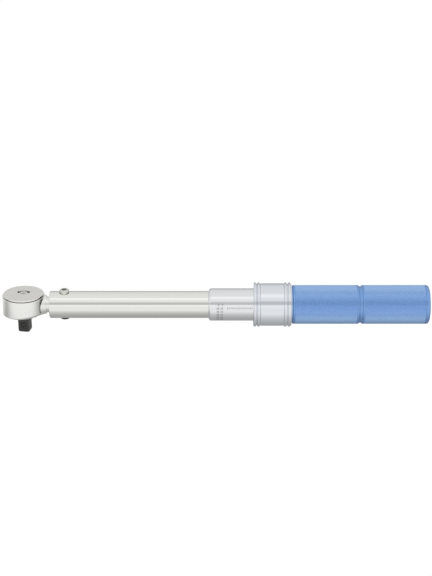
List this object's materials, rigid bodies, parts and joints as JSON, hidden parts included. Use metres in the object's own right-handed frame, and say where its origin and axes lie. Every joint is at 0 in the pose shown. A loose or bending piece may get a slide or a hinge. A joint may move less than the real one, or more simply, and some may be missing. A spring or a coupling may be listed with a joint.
{
  "type": "torque wrench",
  "caption": "Click-type torque wrench with a round reversing ratchet head and square drive, chromed tube with a scale sleeve, sliding lock ring and knurled adjusting grip.",
  "frame": {"origin": "centre of the square drive's shoulder, where a socket seats", "axes": "+X along the wrench towards the end of the grip, +Z away from the square drive"},
  "size_m": [0.3743, 0.0392, 0.0438],
  "materials": {
    "tube_chrome": "polished",
    "sleeve_chrome": "polished",
    "ring_chrome": "satin",
    "head_satin": "satin",
    "dial_satin": "satin",
    "bright_steel": "machined",
    "spring_steel": "plain",
    "black_steel": "black oxide",
    "bronze": "machined",
    "blue_aluminium": "anodised",
    "black_plastic": "matt",
    "seal_rubber": "matt"
  },
  "bodies": {
    "tube": {"tube": "tube_chrome", "scale_sleeve": "sleeve_chrome", "adjusting_nut": "bronze", "nut_pin_top": "bright_steel", "nut_pin_bottom": "bright_steel", "pivot_screw": "bright_steel", "pivot_nut": "black_steel", "main_spring": "spring_steel"},
    "head": {"head_body": "head_satin", "pivot_bush": "bronze", "cover_plate": "bright_steel", "cover_ring": "spring_steel", "pawl_pin": "bright_steel", "dial_screw": "bright_steel"},
    "drive": {"drive_gear": "black_steel", "detent_spring": "spring_steel"},
    "detent": {"detent_ball": "black_steel"},
    "selector": {"selector_dial": "dial_satin", "pawl_spring": "spring_steel"},
    "pawl": {"pawl": "bright_steel"},
    "plunger": {"plunger": "bright_steel"},
    "tilt_block": {"tilt_block": "black_steel"},
    "spring_seat": {"spring_seat": "bright_steel", "thrust_ball": "bright_steel"},
    "handle": {"grip": "blue_aluminium", "adjusting_screw": "bright_steel", "grip_hub": "bright_steel", "hub_key": "bright_steel", "screw_washer": "bright_steel", "screw_nut": "bright_steel", "end_cap": "black_plastic", "grip_seal": "seal_rubber", "lock_ball_1": "bright_steel", "lock_ball_2": "bright_steel", "lock_ball_3": "bright_steel", "lock_clip": "spring_steel", "lock_spring": "spring_steel"},
    "lock_ring": {"lock_ring": "ring_chrome", "lock_ring_cap": "ring_chrome"}
  },
  "joints": [
    {"name": "head_click", "type": "hinge", "parent": "tube", "child": "head", "pos_m": [0.036, 0, 0.012], "axis": [0, 0, 1], "range_deg": [0, 2], "stiffness_Nm_per_rad": 6, "springref_deg": -11.46},
    {"name": "drive_turn", "type": "hinge", "parent": "head", "child": "drive", "pos_m": [0, 0, 0], "axis": [0, 0, 1], "continuous": true},
    {"name": "detent_push", "type": "slide", "parent": "drive", "child": "detent", "axis": [0.1736, 0.9848, 0], "range_m": [0, 0.0008], "stiffness_N_per_m": 400, "springref_m": -0.002, "deforming": ["detent_spring"]},
    {"name": "selector_turn", "type": "hinge", "parent": "head", "child": "selector", "pos_m": [0, 0, 0.012], "axis": [0, 0, 1], "range_deg": [-25, 0]},
    {"name": "pawl_rock", "type": "hinge", "parent": "head", "child": "pawl", "pos_m": [0.0126, 0, 0.012], "axis": [0, 0, 1], "range_deg": [-8, 0]},
    {"name": "plunger_slide", "type": "slide", "parent": "tube", "child": "plunger", "axis": [1, 0, 0], "range_m": [0, 0.0016], "deforming": ["main_spring"]},
    {"name": "block_tilt", "type": "hinge", "parent": "plunger", "child": "tilt_block", "pos_m": [0.1021, 0.0035, 0.012], "axis": [0, 0, 1], "range_deg": [-15, 0]},
    {"name": "handle_advance", "type": "slide", "parent": "tube", "child": "spring_seat", "axis": [-1, 0, 0], "range_m": [0, 0.032], "deforming": ["main_spring"]},
    {"name": "handle_turn", "type": "hinge", "parent": "spring_seat", "child": "handle", "pos_m": [0.25, 0, 0.012], "axis": [-1, 0, 0], "range_deg": [0, 5760]},
    {"name": "lock_slide", "type": "slide", "parent": "handle", "child": "lock_ring", "axis": [-1, 0, 0], "range_m": [0, 0.004], "stiffness_N_per_m": 600, "springref_m": -0.004, "deforming": ["lock_spring"]}
  ],
  "couplings": [
    {"joint": "plunger_slide", "follows": "head_click", "m_per_rad": 0.045837},
    {"joint": "block_tilt", "follows": "head_click", "ratio": -7.5},
    {"joint": "pawl_rock", "follows": "selector_turn", "ratio": 0.32},
    {"joint": "handle_advance", "follows": "handle_turn", "m_per_rad": 0.00031831}
  ]
}
